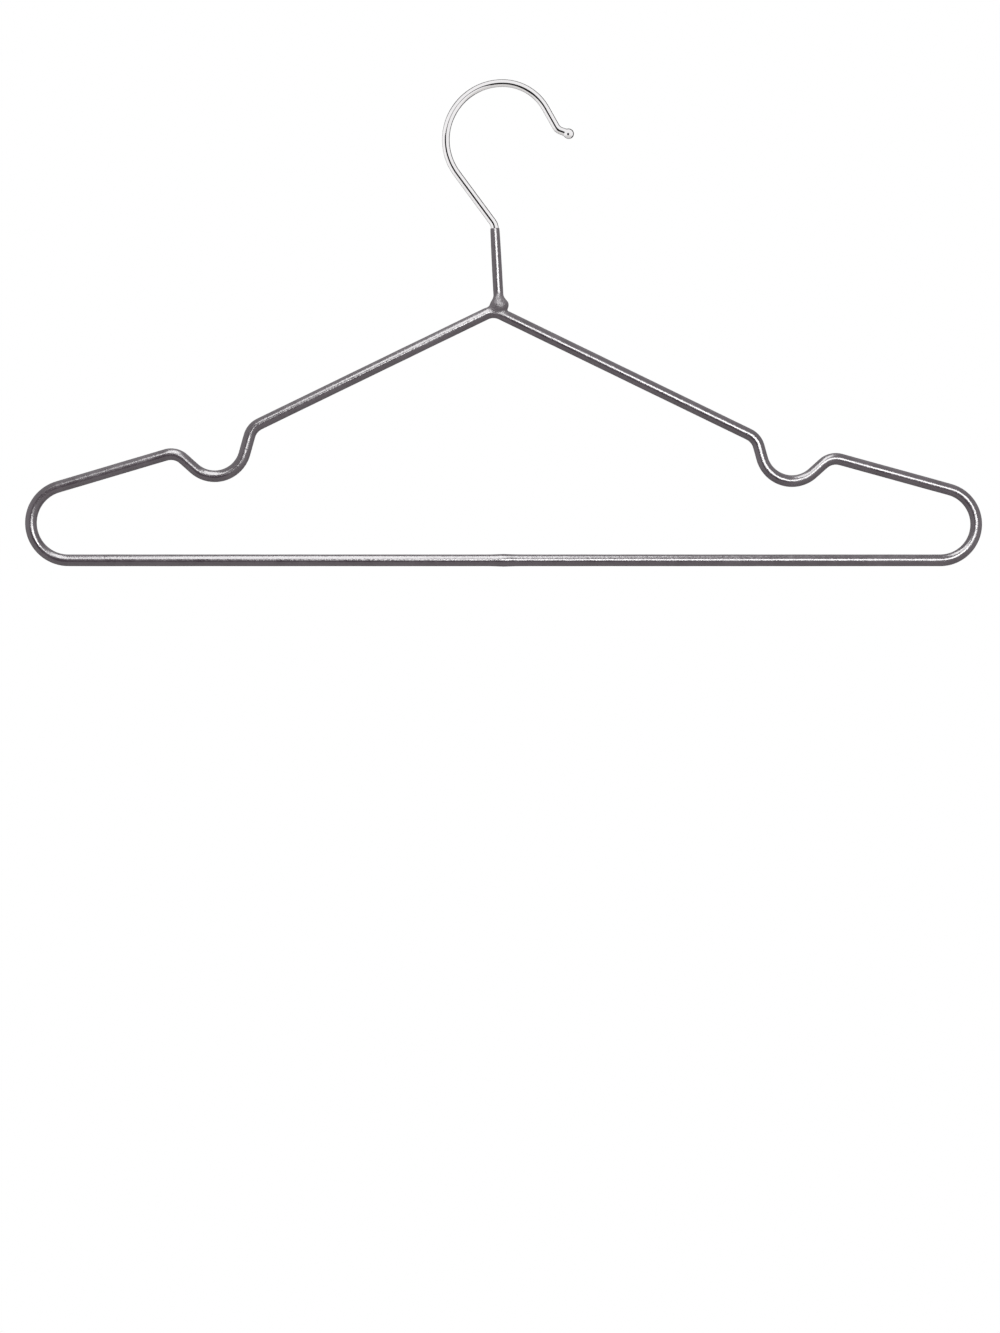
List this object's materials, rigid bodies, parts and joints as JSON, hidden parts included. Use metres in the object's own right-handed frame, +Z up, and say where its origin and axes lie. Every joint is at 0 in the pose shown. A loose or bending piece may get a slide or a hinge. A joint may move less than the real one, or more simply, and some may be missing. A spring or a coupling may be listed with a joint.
{
  "type": "trouser hanger",
  "caption": "Slim wire clothes hanger with a straight trouser bar, strap notches and round ends, in a dark dipped plastic skin, with a bare plated hook welded on its apex.",
  "frame": {"origin": "the hook's saddle: the point under the hook's crown that rests on a rail", "axes": "+X along the trouser bar, towards the side the hook opens to; +Z up; the front faces -Y"},
  "size_m": [0.4019, 0.0076, 0.2047],
  "materials": {
    "skin": "semi-gloss dipped vinyl",
    "wire": "drawn steel wire",
    "weld": "dull weld metal",
    "plate": "bright plated steel"
  },
  "bodies": {
    "root": {"coating": "skin", "frame_wire": "wire", "butt_weld": "weld", "hook": "plate", "hook_weld": "weld"}
  },
  "joints": []
}
